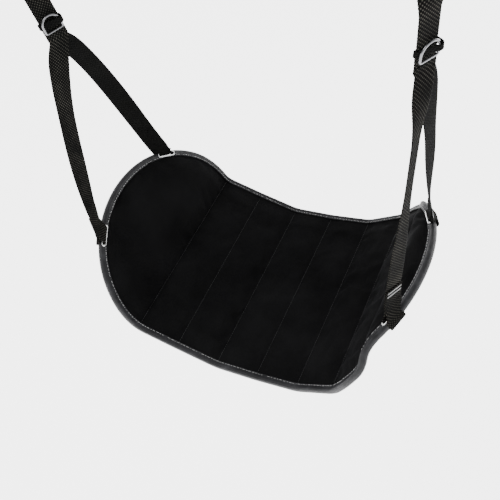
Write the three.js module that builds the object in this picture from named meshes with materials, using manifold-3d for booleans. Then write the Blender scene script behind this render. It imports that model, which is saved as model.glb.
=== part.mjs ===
// Quilted sling swing seat: a padded, edge-bound panel that hangs in a trough from two webbing
// bridles. Millimetres. +X runs to the sitter's left-hand end seen from the front (the viewer's
// right), +Y to the back, +Z up. The origin is midway between the two hanger-ring bars, on the
// axis that the swing turns about, so everything but the hanger arcs lies below z = 0.
import * as THREE from 'three';
import { mergeVertices } from 'three/addons/utils/BufferGeometryUtils.js';
import Module from 'manifold-3d';

const wasm = await Module();
wasm.setup();

// ---- driving dimensions -------------------------------------------------------------------
const SLIVER = 0.05; // edges shorter than this are merged after a union
const GAP = 0.3; // clearance kept between pieces that touch

const CHANNEL = 62; // width of each of the six middle quilted channels
const LEFT_CHANNEL = 146; // the wider channel at the left end
const RIGHT_CHANNEL = 76; // and the one at the right end
const SEAT_DEPTH = 300; // front edge to back edge
const END_ROUNDING = 134; // length of the half-ellipse that rounds each end
const LEFT_END_CREASE = 82; // how far in from its tip the left end channel bends
const RIGHT_END_CREASE = 52; // and the right one
// slope of the panel in each facet, left to right
const FACET_TILTS = [-61, -66, -23, -21, 0, 5, 27, 53, 88, 35];
const SEAM_BEND = 10; // half the length over which the panel bends at a seam
const END_BEND = 14; // and at the middle of an end channel, where the foam bends too
const TROUGH_DEPTH = 548; // from the hang axis down to the lowest point of the panel's middle

const PAD_HALF = 2.2; // half thickness of the foam
const COVER = 0.9; // thickness of the face and back fabric
const TAPE = 0.8; // thickness of the edge binding tape
const TAPE_WIDTH = 9; // how far the tape reaches in from the edge

const WEBBING = 25; // width of all the webbing
const WEBBING_THICK = 1.6;
const LEFT_JUNCTION_X = -213; // where each bridle's D-ring hangs
const RIGHT_JUNCTION_X = 206;
const PIVOT_Z = -124; // where the bridle legs bend against the main straps
const PIVOT_RELIEF = 3.4; // half the gap that lets the legs pitch there
const WEB_TURN = 60; // degrees from +X to the webbing's width at the D-rings
const HANGER_X = 220; // half the distance between the hanger rings

// place of each strap slot round its end's ellipse, in degrees
const SLOT_ANGLES = { front_left: 33, back_left: 38, front_right: 32, back_right: 32 };
const SLOT_SETBACK = 5; // slot centre to the outer edge
const SLOT_LENGTH = 27;
const SLOT_WIDTH = 3.6;

const RING_WIRE = 1.2; // radius of the D-ring's wire
const RING_HALF = 10.8; // half width of the D-ring, at its wire's middle
const RING_HEIGHT = 19; // bar to top of arc, at the wire's middle
const RING_STANDOFF = 3.4; // strap's mid-plane to the ring's mid-plane
const RING_LEAN = 6; // degrees that the arc stands off the strap
const HANGER_WIRE = 2.5;

const HALF_DEPTH = SEAT_DEPTH / 2;
const COVER_IN = PAD_HALF + GAP;
const COVER_OUT = COVER_IN + COVER;
const TAPE_IN = COVER_OUT + GAP;
const TAPE_OUT = TAPE_IN + TAPE;
const LEFT_TIP = -3 * CHANNEL - LEFT_CHANNEL;
const RIGHT_TIP = 3 * CHANNEL + RIGHT_CHANNEL;
const RING_BAR_Z = PIVOT_Z + 8;
const rad = THREE.MathUtils.degToRad;
const vec = (x, y, z) => new THREE.Vector3(x, y, z);

// ---- materials ----------------------------------------------------------------------------
const finish = (color, roughness, metalness = 0) =>
  new THREE.MeshStandardMaterial({ color, roughness, metalness });
const suede = finish(0x0b0b0c, 0.95);
const backing = finish(0x131314, 0.85);
const foam = finish(0x4a4a4c, 0.95);
const tape = finish(0x2b2b2e, 0.45);
const webbing = finish(0x141412, 0.75);
const thread = finish(0x1c1c1e, 0.6);
const chrome = finish(0xd5d7da, 0.2, 1);

const swing = new THREE.Group();
function addPiece(name, geometry, material) {
  const mesh = new THREE.Mesh(geometry, material);
  mesh.name = name;
  swing.add(mesh);
}

// ---- general solids -----------------------------------------------------------------------
// A closed body through a row of matching section outlines, capped unless the row joins up.
function loft(sections, joined = false) {
  const ring = sections[0].length;
  const rows = sections.length;
  const position = sections.flatMap((section) => section.flatMap((p) => [p.x, p.y, p.z]));
  const index = [];
  for (let row = 0; row < (joined ? rows : rows - 1); row++) {
    const here = row * ring;
    const next = ((row + 1) % rows) * ring;
    for (let i = 0; i < ring; i++) {
      const j = (i + 1) % ring;
      index.push(here + i, here + j, next + j, here + i, next + j, next + i);
    }
  }
  if (!joined) {
    const last = (rows - 1) * ring;
    for (let i = 1; i < ring - 1; i++) {
      index.push(0, i + 1, i, last, last + i, last + i + 1);
    }
  }
  const geometry = new THREE.BufferGeometry();
  geometry.setAttribute('position', new THREE.Float32BufferAttribute(position, 3));
  geometry.setIndex(signedVolume(position, index) < 0 ? index.reverse() : index);
  return geometry;
}

function signedVolume(position, index) {
  const corner = (i) => new THREE.Vector3().fromArray(position, 3 * index[i]);
  let volume = 0;
  for (let i = 0; i < index.length; i += 3) {
    volume += corner(i).dot(corner(i + 1).cross(corner(i + 2)));
  }
  return volume;
}

function toManifold(geometry) {
  let bare = geometry.clone();
  bare.deleteAttribute('normal');
  bare.deleteAttribute('uv');
  bare = mergeVertices(bare, 1e-4);
  return new wasm.Manifold(new wasm.Mesh({
    numProp: 3,
    vertProperties: new Float32Array(bare.attributes.position.array),
    triVerts: new Uint32Array(bare.index.array),
  }));
}

function fromManifold(solid) {
  const mesh = solid.simplify(0.01).getMesh();
  const geometry = new THREE.BufferGeometry();
  geometry.setAttribute('position', new THREE.BufferAttribute(mesh.vertProperties, 3));
  geometry.setIndex(new THREE.BufferAttribute(mesh.triVerts, 1));
  return geometry;
}

// The union of several bodies, with slivers cleared away and any pocket closed inside it filled.
function unite(...parts) {
  const body = parts.map(toManifold).reduce((a, b) => a.add(b)).asOriginal().simplify(SLIVER);
  return fromManifold(body.decompose().sort((a, b) => b.volume() - a.volume())[0]);
}
const cutAway = (body, cutters) =>
  fromManifold(cutters.map(toManifold).reduce((a, b) => a.subtract(b), toManifold(body)));

const squareTo = (direction, along) =>
  direction.clone().addScaledVector(along, -direction.dot(along)).normalize();

// A strip of webbing through stations { at, width, face }: unit width and face directions.
function strip(stations, width = WEBBING, thick = WEBBING_THICK) {
  const corners = [[-1, -1], [1, -1], [1, 1], [-1, 1]];
  return loft(stations.map(({ at, width: across, face }) => corners.map(([w, t]) =>
    at.clone().addScaledVector(across, (w * width) / 2).addScaledVector(face, (t * thick) / 2))));
}

// A round wire along a closed flat loop of points, in the plane across the unit vector normal.
function wireLoop(points, normal, radius, sides = 8) {
  const sections = points.map((at, i) => {
    const before = points[(i + points.length - 1) % points.length];
    const after = points[(i + 1) % points.length];
    const outward = after.clone().sub(before).normalize().cross(normal);
    return Array.from({ length: sides }, (_, k) => {
      const turn = (2 * Math.PI * k) / sides;
      return at.clone()
        .addScaledVector(outward, radius * Math.cos(turn))
        .addScaledVector(normal, radius * Math.sin(turn));
    });
  });
  return loft(sections, true);
}

// The D outline in its own plane: a straight bar along u at v = 0, sides and an arc above.
function dOutline(half, height, corner, arcSteps) {
  const shape = new THREE.Path();
  const rise = height - half; // straight part of the sides
  shape.moveTo(0, 0);
  shape.lineTo(half - corner, 0);
  shape.quadraticCurveTo(half, 0, half, corner);
  shape.lineTo(half, rise);
  shape.absarc(0, rise, half, 0, Math.PI);
  shape.lineTo(-half, corner);
  shape.quadraticCurveTo(-half, 0, -half + corner, 0);
  shape.lineTo(0, 0);
  return shape.getSpacedPoints(arcSteps).slice(0, -1);
}

// ---- the panel's curve --------------------------------------------------------------------
const CREASES = [
  LEFT_TIP, LEFT_TIP + LEFT_END_CREASE,
  ...[-3, -2, -1, 0, 1, 2, 3].map((i) => i * CHANNEL),
  RIGHT_TIP - RIGHT_END_CREASE, RIGHT_TIP,
];
const SEAMS = CREASES.slice(2, 9);

const bendHalf = (i) => (i < 2 || i > CREASES.length - 3 ? END_BEND : SEAM_BEND);

function tiltAt(s) {
  let tilt = FACET_TILTS[0];
  for (let i = 1; i < FACET_TILTS.length; i++) {
    const half = bendHalf(i);
    const into = THREE.MathUtils.clamp((s - CREASES[i] + half) / (2 * half), 0, 1);
    tilt += (FACET_TILTS[i] - FACET_TILTS[i - 1]) * into;
  }
  return rad(tilt);
}

// x and z of the panel's mid-surface, stepped out from its middle a millimetre at a time
const curve = new Map([[0, { x: 0, z: -TROUGH_DEPTH }]]);
for (const way of [-1, 1]) {
  for (let s = 0; Math.abs(s) < 350; s += way) {
    const { x, z } = curve.get(s);
    const tilt = tiltAt(s + way / 2);
    curve.set(s + way, { x: x + way * Math.cos(tilt), z: z + way * Math.sin(tilt) });
  }
}

// Point of the panel at length s, depth y and height h above its mid-surface.
function onPanel(s, y, h) {
  const from = Math.floor(s);
  const a = curve.get(from);
  const b = curve.get(from + 1);
  const part = s - from;
  const tilt = tiltAt(s);
  return vec(
    THREE.MathUtils.lerp(a.x, b.x, part) - h * Math.sin(tilt),
    y,
    THREE.MathUtils.lerp(a.z, b.z, part) + h * Math.cos(tilt),
  );
}

// Half the panel's depth at length s, drawn in from the outer edge by inset.
function halfDepth(s, inset) {
  const centre = s < 0 ? LEFT_TIP + END_ROUNDING : RIGHT_TIP - END_ROUNDING;
  const along = (s - centre) * Math.sign(s || 1);
  if (along <= 0) return HALF_DEPTH - inset;
  const part = Math.min(along / (END_ROUNDING - inset), Math.sin(rad(84)));
  return (HALF_DEPTH - inset) * Math.sqrt(1 - part * part);
}

// Lengths at which the panel's outline or its slope changes. Every layer is cut at the same
// ones, so that layers stay parallel.
const STATIONS = [];
{
  const marks = [];
  CREASES.forEach((crease, i) => {
    for (let part = -3; part <= 3; part++) marks.push(crease + (part / 3) * bendHalf(i));
  });
  for (let turn = 0; turn <= 84; turn += 7) {
    const reach = END_ROUNDING * Math.sin(rad(turn));
    marks.push(LEFT_TIP + END_ROUNDING - reach, RIGHT_TIP - END_ROUNDING + reach);
  }
  for (const s of marks.sort((a, b) => a - b)) {
    if (s > tipOf(-1, 0) + 1 && s < tipOf(1, 0) - 1 && !(s - STATIONS.at(-1) < 1.5)) {
      STATIONS.push(s);
    }
  }
}
const stationsBetween = (from, to) =>
  [from, ...STATIONS.filter((s) => s > from + 0.3 && s < to - 0.3), to];

function tipOf(side, inset) {
  const reach = (END_ROUNDING - inset) * Math.sin(rad(84));
  return side < 0 ? LEFT_TIP + END_ROUNDING - reach : RIGHT_TIP - END_ROUNDING + reach;
}

// A layer of the panel between two heights, from one length to another.
function layer(from, to, low, high, inset) {
  return loft(stationsBetween(from, to).map((s) => {
    const half = halfDepth(s, inset);
    return [onPanel(s, -half, low), onPanel(s, half, low), onPanel(s, half, high),
      onPanel(s, -half, high)];
  }));
}

// ---- strap slots --------------------------------------------------------------------------
// Each slot's own frame: origin on the outer edge, out away from the panel, up off its face,
// along the edge.
function slotFrame(name, side, end) {
  const place = rad(SLOT_ANGLES[name]);
  const s = (side < 0 ? LEFT_TIP + END_ROUNDING : RIGHT_TIP - END_ROUNDING)
    + side * END_ROUNDING * Math.cos(place);
  const y = end * HALF_DEPTH * Math.sin(place);
  const tilt = tiltAt(s);
  const outS = Math.cos(place) / END_ROUNDING;
  const outY = Math.sin(place) / HALF_DEPTH;
  const out = vec(side * outS * Math.cos(tilt), end * outY, side * outS * Math.sin(tilt));
  const up = vec(-Math.sin(tilt), 0, Math.cos(tilt));
  out.normalize();
  const along = up.clone().cross(out);
  if (along.y < 0) along.negate();
  return { origin: onPanel(s, y, 0), out, up, along };
}
const local = (frame, u, h, t = 0) => frame.origin.clone()
  .addScaledVector(frame.out, u).addScaledVector(frame.up, h).addScaledVector(frame.along, t);

// A round-cornered block in a slot's frame: size along the edge by size outwards by heights.
function slotBlock(frame, length, width, low, high, centre = -SLOT_SETBACK) {
  const corner = Math.min(length, width, 7) * 0.3;
  const shape = new THREE.Shape();
  const halfL = length / 2 - corner;
  const halfW = width / 2 - corner;
  shape.absarc(halfL, halfW, corner, 0, Math.PI / 2);
  shape.absarc(-halfL, halfW, corner, Math.PI / 2, Math.PI);
  shape.absarc(-halfL, -halfW, corner, Math.PI, 1.5 * Math.PI);
  shape.absarc(halfL, -halfW, corner, 1.5 * Math.PI, 2 * Math.PI);
  const outline = mergeClose(shape.getPoints(3));
  return loft([low, high].map((h) => outline.map((p) => local(frame, centre + p.y, h, p.x))));
}
const mergeClose = (points) =>
  points.filter((p, i) => p.distanceTo(points[(i + 1) % points.length]) > 1e-3);

const sideName = (side) => (side < 0 ? 'left' : 'right');
const junctionX = (side) => (side < 0 ? LEFT_JUNCTION_X : RIGHT_JUNCTION_X);
const corners = [];
for (const side of [-1, 1]) {
  for (const end of [-1, 1]) {
    const name = `${end < 0 ? 'front' : 'back'}_${sideName(side)}`;
    corners.push({ name, side, end, frame: slotFrame(name, side, end) });
  }
}

// ---- the seat panel -----------------------------------------------------------------------
// The fabric and foam are notched for each slot, from just inside its eyelet out to the edge.
const NOTCH_LENGTH = SLOT_LENGTH + 4;
const NOTCH_DEPTH = SLOT_SETBACK + SLOT_WIDTH / 2 + 2.2;
const notches = corners.map(({ frame }) =>
  slotBlock(frame, NOTCH_LENGTH, 20, -8, 8, 10 - NOTCH_DEPTH));
const EDGE_IN = 2.2; // the covers stop this far inside the tape's outer face
const PAD_IN = 3; // and the foam this far

function addPanel() {
  const from = tipOf(-1, EDGE_IN);
  const to = tipOf(1, EDGE_IN);
  addPiece('top_cover', cutAway(layer(from, to, COVER_IN, COVER_OUT, EDGE_IN), notches), suede);
  addPiece('bottom_cover',
    cutAway(layer(from, to, -COVER_OUT, -COVER_IN, EDGE_IN), notches), backing);
  const padEnds = [tipOf(-1, PAD_IN), ...SEAMS, tipOf(1, PAD_IN)];
  for (let i = 0; i < 8; i++) {
    const start = padEnds[i] + (i > 0 ? 1.2 : 0);
    const stop = padEnds[i + 1] - (i < 7 ? 1.2 : 0);
    const pad = layer(start, stop, -PAD_HALF, PAD_HALF, PAD_IN);
    const slotted = i === 0 || i === 7 ? cutAway(pad, notches) : pad;
    addPiece(`foam_pad_${i + 1}`, slotted, foam);
  }
  SEAMS.forEach((s, i) => addPiece(`seam_thread_${i + 1}`,
    layer(s - 0.4, s + 0.4, -PAD_HALF, PAD_HALF, TAPE_WIDTH + 1), thread));
}

// The outer edge as flat points { s, y } with their outward direction, all the way round.
function edgePoints() {
  const points = [];
  for (const end of [-1, 1]) {
    const run = stationsBetween(tipOf(-1, 0), tipOf(1, 0)).map((s) => {
      const centre = s < 0 ? LEFT_TIP + END_ROUNDING : RIGHT_TIP - END_ROUNDING;
      const round = (s - centre) * Math.sign(s || 1) > 0;
      const y = halfDepth(s, 0);
      const out = new THREE.Vector2(round ? (s - centre) / END_ROUNDING ** 2 : 0,
        y / HALF_DEPTH ** 2).normalize();
      return { s, y: end * y, outS: out.x, outY: end * out.y };
    });
    points.push(...(end < 0 ? run : run.reverse()));
  }
  return points;
}

function addBinding() {
  const deep = -TAPE_WIDTH;
  const section = [
    [deep, TAPE_OUT], [-1.6, TAPE_OUT], [0, TAPE_OUT - 1.6], [0, 1.6 - TAPE_OUT],
    [-1.6, -TAPE_OUT], [deep, -TAPE_OUT], [deep, -TAPE_IN], [deep / 2, -TAPE_IN],
    [-TAPE - 0.4, -TAPE_IN], [-TAPE - 0.4, TAPE_IN], [deep / 2, TAPE_IN], [deep, TAPE_IN],
  ];
  const band = loft(edgePoints().map((p) => section.map(([u, h]) =>
    onPanel(p.s + u * p.outS, p.y + u * p.outY, h))), true);
  const holes = corners.map(({ frame }) =>
    slotBlock(frame, SLOT_LENGTH + 2.8, SLOT_WIDTH + 2.8, -12, 12));
  addPiece('edge_binding', cutAway(band, holes), tape);
}

function addEyelet({ name, frame }) {
  const lip = TAPE_OUT + GAP;
  const body = [
    slotBlock(frame, SLOT_LENGTH + 2.2, SLOT_WIDTH + 2.2, -lip - 0.4, lip + 0.4),
    slotBlock(frame, SLOT_LENGTH + 4.4, SLOT_WIDTH + 3.6, lip, lip + 0.8),
    slotBlock(frame, SLOT_LENGTH + 4.4, SLOT_WIDTH + 3.6, -lip - 0.8, -lip),
  ];
  const slot = slotBlock(frame, SLOT_LENGTH, SLOT_WIDTH, -12, 12);
  addPiece(`${name}_eyelet`, cutAway(unite(...body), [slot]), chrome);
}

// ---- bridle legs --------------------------------------------------------------------------
const webAcross = vec(Math.cos(rad(WEB_TURN)), Math.sin(rad(WEB_TURN)), 0);
const webFront = vec(Math.sin(rad(WEB_TURN)), -Math.cos(rad(WEB_TURN)), 0);
const MERGE = 24; // from the edge to where the leg's two layers meet
const TAIL = 26; // how far the folded end runs on up the leg from there
// sway: how far each leg leaves its slot aside from the straight way up, in X and Y
// leaves, arrives: how far it keeps its heading at the slot and below the main strap
// lean: how its top leans along the strap's width, and in front of it
// turn: degrees from +X to its width halfway up, reached over the part of its length in turned
// last: the part of its length where it starts to turn flat against the main strap
const LEG_SHAPES = {
  front_left: {
    sway: [0.16, -0.33], leaves: 59, arrives: 59, lean: [0.8, 0], turn: 86, turned: [0, 0.45],
    last: 0.6,
  },
  back_left: {
    sway: [0.25, -0.17], leaves: 79, arrives: 60, lean: [-0.8, 0.6], turn: 40,
    turned: [0.19, 0.79], last: 0.91,
  },
  front_right: {
    sway: [-0.17, -0.01], leaves: 20, arrives: 110, lean: [0.49, -0.37], turn: 87,
    turned: [0.17, 0.61], last: 0.74,
  },
  back_right: {
    sway: [0.01, -0.27], leaves: 52, arrives: 42, lean: [-0.59, 0], turn: 81, turned: [0, 0.56],
    last: 0.61,
  },
};

function addLeg({ name, side, end, frame }) {
  // The back leg lies behind the front one where they meet the main strap.
  const top = vec(junctionX(side), 0, PIVOT_Z - PIVOT_RELIEF)
    .addScaledVector(webFront, end < 0 ? 0 : -2.4);
  const shape = LEG_SHAPES[name];
  const lead = top.clone().sub(frame.origin).normalize().add(vec(...shape.sway, 0)).normalize();
  // across the folded layers, towards the panel
  const inward = lead.clone().cross(frame.along).normalize();
  if (inward.dot(frame.out) > 0) inward.negate();
  const merge = local(frame, -2, 0).addScaledVector(lead, MERGE);

  const foldRoute = new THREE.CatmullRomCurve3([
    merge.clone().addScaledVector(lead, 2).addScaledVector(inward, 0.8),
    merge.clone().addScaledVector(lead, -5).addScaledVector(inward, 1.4),
    ...[[-5, 8], [-5, 4], [-5, -3], [-4.6, -5.8], [-2, -7.4], [0.8, -6.2], [1.7, -2], [1.9, 4]]
      .map(([u, h]) => local(frame, u, h)),
    merge.clone().addScaledVector(lead, -5).addScaledVector(inward, -1.4),
    merge.clone().addScaledVector(lead, 2).addScaledVector(inward, -0.8),
  ]);
  const fold = strip(Array.from({ length: 33 }, (_, i) => {
    const along = foldRoute.getTangentAt(i / 32);
    // square to the webbing at its ends, but square to the slot in it
    const away = THREE.MathUtils.smoothstep(Math.abs(i / 32 - 0.52), 0.27, 0.5);
    const across = frame.along.clone().lerp(squareTo(frame.along, along), away).normalize();
    const face = along.clone().cross(across).normalize();
    return { at: foldRoute.getPointAt(i / 32), width: across, face };
  }), WEBBING - 0.3);

  const span = top.distanceTo(merge);
  const climb = top.clone().sub(merge).normalize().add(vec(0, 0, 0.6))
    .addScaledVector(webAcross, shape.lean[0]).addScaledVector(webFront, shape.lean[1])
    .normalize();
  const route = new THREE.CubicBezierCurve3(
    merge.clone(), merge.clone().addScaledVector(lead, shape.leaves),
    top.clone().addScaledVector(climb, -shape.arrives), top,
  );
  const halfway = vec(Math.cos(rad(shape.turn)), Math.sin(rad(shape.turn)), 0);
  const outer = -Math.sign(lead.clone().cross(frame.along).dot(inward));
  // The leg's station at a part of its length, lifted off its mid-surface on its outer side.
  const stationAt = (t, lift = 0) => {
    const along = route.getTangentAt(t);
    const across = squareTo(frame.along.clone()
      .lerp(halfway, THREE.MathUtils.smoothstep(t, ...shape.turned))
      .lerp(webAcross, THREE.MathUtils.smoothstep(t, shape.last, 1)), along)
      // its top is cut level, along the end of the main strap
      .lerp(webAcross, THREE.MathUtils.smoothstep(t, 0.82, 1)).normalize();
    const face = along.clone().cross(across).normalize().multiplyScalar(outer);
    return { at: route.getPointAt(t).addScaledVector(face, lift), width: across, face };
  };
  const leg = strip(Array.from({ length: 25 }, (_, i) => stationAt(i / 24)));
  const tail = strip([0.03, 0.25, 0.5, 0.75, 1].map((part) =>
    stationAt((part * TAIL) / span, 1.4)), WEBBING - 0.6);
  addPiece(`${name}_leg`, unite(leg, fold, tail), webbing);

  const tackLift = 1.4 + WEBBING_THICK / 2 + GAP + 0.35;
  const tack = strip([TAIL - 8, TAIL - 2].map((rise) => stationAt(rise / span, tackLift)), 20, 0.7);
  addPiece(`${name}_bartack`, tack, thread);
}

// ---- main straps, D-rings and hangers -----------------------------------------------------

function addMainStrap(side) {
  const low = vec(junctionX(side), 0, PIVOT_Z + PIVOT_RELIEF);
  const high = vec(side * HANGER_X, 0, -10);
  const rise = high.clone().sub(low).normalize();
  // Half the gap between the strap's two layers below its eye, plus half their thickness.
  const layer = WEBBING_THICK / 2 + GAP / 2;
  const body = Array.from({ length: 17 }, (_, i) => {
    const t = (i / 16) * 0.78;
    const turn = rad(WEB_TURN) * (1 - THREE.MathUtils.smoothstep(t, 0.42, 0.78));
    const across = squareTo(vec(Math.cos(turn), Math.sin(turn), 0), rise);
    const at = low.clone().lerp(high, t);
    at.y -= layer * THREE.MathUtils.smoothstep(t, 0.6, 0.76);
    return { at, width: across, face: rise.clone().cross(across) };
  });
  const across = vec(1, 0, 0);
  const eye = new THREE.CatmullRomCurve3(
    [[-layer, -30], [-layer, -22], [-1.6, -16], [-4.1, -5], [-4.3, 0], [-3, 3.1], [0, 4.3],
      [3, 3.1], [4.3, 0], [4.1, -5], [1.6, -16], [layer, -22], [layer, -30]]
      .map(([y, z]) => vec(side * HANGER_X + z * (rise.x / rise.z), y, z)),
  );
  const loop = Array.from({ length: 37 }, (_, i) => {
    const along = eye.getTangentAt(i / 36);
    return {
      at: eye.getPointAt(i / 36), width: across, face: along.clone().cross(across).normalize(),
    };
  });
  addPiece(`${sideName(side)}_main_strap`, strip([...body, ...loop]), webbing);

  const seat = high.clone().addScaledVector(rise, -16);
  const stitch = strip([-5, 5].map((d) => ({
    at: seat.clone().addScaledVector(rise, d).add(vec(0, -(WEBBING_THICK + GAP + 0.8), 0)),
    width: across, face: vec(0, 1, 0),
  })), 18, 0.7);
  addPiece(`${sideName(side)}_eye_stitching`, stitch, thread);
}

// The strap's own axes where the D-ring lies on it.
function ringFrame(side) {
  const low = vec(junctionX(side), 0, PIVOT_Z);
  const rise = vec(side * HANGER_X, 0, 0).sub(low).normalize();
  const origin = low.clone().addScaledVector(rise, (RING_BAR_Z - PIVOT_Z) / rise.z);
  const across = squareTo(webAcross, rise);
  return { origin, rise, across, front: across.clone().cross(rise) };
}

function addDRing(side) {
  const { origin, rise, across, front } = ringFrame(side);
  const lean = rad(RING_LEAN);
  const climb = rise.clone().multiplyScalar(Math.cos(lean))
    .addScaledVector(front, Math.sin(lean));
  const normal = across.clone().cross(climb);
  const points = dOutline(RING_HALF, RING_HEIGHT, 2.2, 34).map((p) => origin.clone()
    .addScaledVector(front, RING_STANDOFF)
    .addScaledVector(across, p.x).addScaledVector(climb, p.y));
  addPiece(`${sideName(side)}_d_ring`, wireLoop(points, normal, RING_WIRE), chrome);

  // The keeper goes under the ring's left wire, through it and over its right wire, then round
  // the back of the strap.
  const half = WEBBING / 2 + 1;
  const route = [
    [-half, 0.2], [-half + 1, 1.55], [-8.6, 1.6], [-4.5, 2.9], [4.5, 6.1], [8.5, 8.2], [12.4, 8.0],
    [half + 1.4, 5], [half + 0.6, 0.2], [half - 0.6, -1.6], [-half + 0.6, -1.6],
  ];
  const keeper = loft(route.map(([u, n], i) => {
    const before = new THREE.Vector2(...route[(i + route.length - 1) % route.length]);
    const after = new THREE.Vector2(...route[(i + 1) % route.length]);
    const run = after.sub(before).normalize();
    return [[-1, -1], [1, -1], [1, 1], [-1, 1]].map(([v, w]) => {
      const spread = 0.5 * w;
      return origin.clone().addScaledVector(rise, 9.5 + 3.5 * v)
        .addScaledVector(across, u + run.y * spread).addScaledVector(front, n - run.x * spread);
    });
  }), true);
  addPiece(`${sideName(side)}_ring_keeper`, keeper, webbing);
}

function addHanger(side) {
  const points = dOutline(18.5, 36, 2.5, 40).map((p) => vec(side * HANGER_X + p.x, 0, p.y));
  addPiece(`${sideName(side)}_hanger_ring`, wireLoop(points, vec(0, -1, 0), HANGER_WIRE), chrome);
}

addPanel();
addBinding();
corners.forEach(addEyelet);
corners.forEach(addLeg);
for (const side of [-1, 1]) {
  addMainStrap(side);
  addDRing(side);
  addHanger(side);
}

export default swing;
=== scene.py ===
import math
from math import cos, pi, radians, sin, sqrt

import bmesh
import bpy
from mathutils import Matrix, Vector, noise


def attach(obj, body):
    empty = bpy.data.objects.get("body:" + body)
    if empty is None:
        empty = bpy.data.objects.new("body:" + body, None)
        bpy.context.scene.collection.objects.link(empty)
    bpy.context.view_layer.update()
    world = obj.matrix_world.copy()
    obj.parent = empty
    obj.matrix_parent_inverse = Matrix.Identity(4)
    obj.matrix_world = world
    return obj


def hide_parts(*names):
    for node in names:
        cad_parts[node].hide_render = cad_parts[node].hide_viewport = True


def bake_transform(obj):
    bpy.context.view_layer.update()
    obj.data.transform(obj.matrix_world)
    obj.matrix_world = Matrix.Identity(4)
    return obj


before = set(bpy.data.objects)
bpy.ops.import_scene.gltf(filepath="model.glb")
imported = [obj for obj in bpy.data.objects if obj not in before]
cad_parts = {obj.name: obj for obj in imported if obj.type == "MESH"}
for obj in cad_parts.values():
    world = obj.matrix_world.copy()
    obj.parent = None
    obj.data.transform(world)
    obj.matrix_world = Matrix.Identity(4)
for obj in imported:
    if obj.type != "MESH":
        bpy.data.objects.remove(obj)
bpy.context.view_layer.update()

MM = 0.001

# ---- dimensions shared with the CAD model ---------------------------------------------------
CHANNEL = 62
LEFT_CHANNEL = 146
RIGHT_CHANNEL = 76
HALF_DEPTH = 150
END_ROUNDING = 134
LEFT_END_CREASE = 82
RIGHT_END_CREASE = 52
FACET_TILTS = [-61, -66, -23, -21, 0, 5, 27, 53, 88, 35]
SEAM_BEND = 10
END_BEND = 14
TROUGH_DEPTH = 548
LEFT_TIP = -3 * CHANNEL - LEFT_CHANNEL
RIGHT_TIP = 3 * CHANNEL + RIGHT_CHANNEL
WEBBING = 25
WEBBING_THICK = 1.6
LEFT_JUNCTION_X = -213
RIGHT_JUNCTION_X = 206
PIVOT_Z = -124
PIVOT_RELIEF = 3.4
WEB_TURN = 60
HANGER_X = 220
SLOT_ANGLES = {"front_left": 33, "back_left": 38, "front_right": 32, "back_right": 32}
SLOT_SETBACK = 5
SLOT_LENGTH = 27
SLOT_WIDTH = 3.6
MERGE = 24
TAIL = 26
LEG_LAYER = 2.4
EYE_TOP_Z = -10
BOX_STITCH_DROP = 16
# per leg: sway at its slot; handle lengths at slot and strap; lean of its top; its width's turn
LEG_SHAPES = {
    "front_left": {"sway": (0.16, -0.33), "leaves": 59, "arrives": 59, "lean": (0.8, 0),
                   "turn": 86, "turned": (0, 0.45), "last": 0.6},
    "back_left": {"sway": (0.25, -0.17), "leaves": 79, "arrives": 60, "lean": (-0.8, 0.6),
                  "turn": 40, "turned": (0.19, 0.79), "last": 0.91},
    "front_right": {"sway": (-0.17, -0.01), "leaves": 20, "arrives": 110, "lean": (0.49, -0.37),
                    "turn": 87, "turned": (0.17, 0.61), "last": 0.74},
    "back_right": {"sway": (0.01, -0.27), "leaves": 52, "arrives": 42, "lean": (-0.59, 0),
                   "turn": 81, "turned": (0, 0.56), "last": 0.61},
}
RING_WIRE = 1.2
RING_HALF = 10.8
RING_HEIGHT = 19
RING_STANDOFF = 3.4
RING_LEAN = 6
RING_BAR_Z = PIVOT_Z + 8
RING_CORNER = 2.2
HANGER_WIRE = 2.5
HANGER_RING_HALF = 18.5
HANGER_RING_HEIGHT = 36
HANGER_RING_CORNER = 3


def smoothstep(value, low, high):
    t = min(max((value - low) / (high - low), 0), 1)
    return t * t * (3 - 2 * t)


def junction_x(side):
    return LEFT_JUNCTION_X if side < 0 else RIGHT_JUNCTION_X


def square_to(direction, along):
    return (direction - along * direction.dot(along)).normalized()


# ---- the panel's curve ----------------------------------------------------------------------
CREASES = [LEFT_TIP, LEFT_TIP + LEFT_END_CREASE]
CREASES += [i * CHANNEL for i in range(-3, 4)]
CREASES += [RIGHT_TIP - RIGHT_END_CREASE, RIGHT_TIP]
SEAMS = CREASES[2:9]


def tilt_at(s):
    tilt = FACET_TILTS[0]
    for i in range(1, len(FACET_TILTS)):
        half = END_BEND if i < 2 or i > len(CREASES) - 3 else SEAM_BEND
        into = min(max((s - CREASES[i] + half) / (2 * half), 0), 1)
        tilt += (FACET_TILTS[i] - FACET_TILTS[i - 1]) * into
    return radians(tilt)


CURVE = {0: (0.0, -float(TROUGH_DEPTH))}
for way in (-1, 1):
    for step in range(350):
        x, z = CURVE[way * step]
        slope = tilt_at(way * (step + 0.5))
        CURVE[way * (step + 1)] = (x + way * cos(slope), z + way * sin(slope))


def on_panel(s, y, h):
    first = math.floor(s)
    (xa, za), (xb, zb) = CURVE[first], CURVE[first + 1]
    part = s - first
    tilt = tilt_at(s)
    return Vector((xa + (xb - xa) * part - h * sin(tilt), y, za + (zb - za) * part + h * cos(tilt)))


def end_centre(s):
    return LEFT_TIP + END_ROUNDING if s < 0 else RIGHT_TIP - END_ROUNDING


def half_depth(s, inset=0):
    along = (s - end_centre(s)) * (-1 if s < 0 else 1)
    if along <= 0:
        return HALF_DEPTH - inset
    part = min(along / (END_ROUNDING - inset), 1)
    return (HALF_DEPTH - inset) * sqrt(max(1 - part * part, 0))


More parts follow.
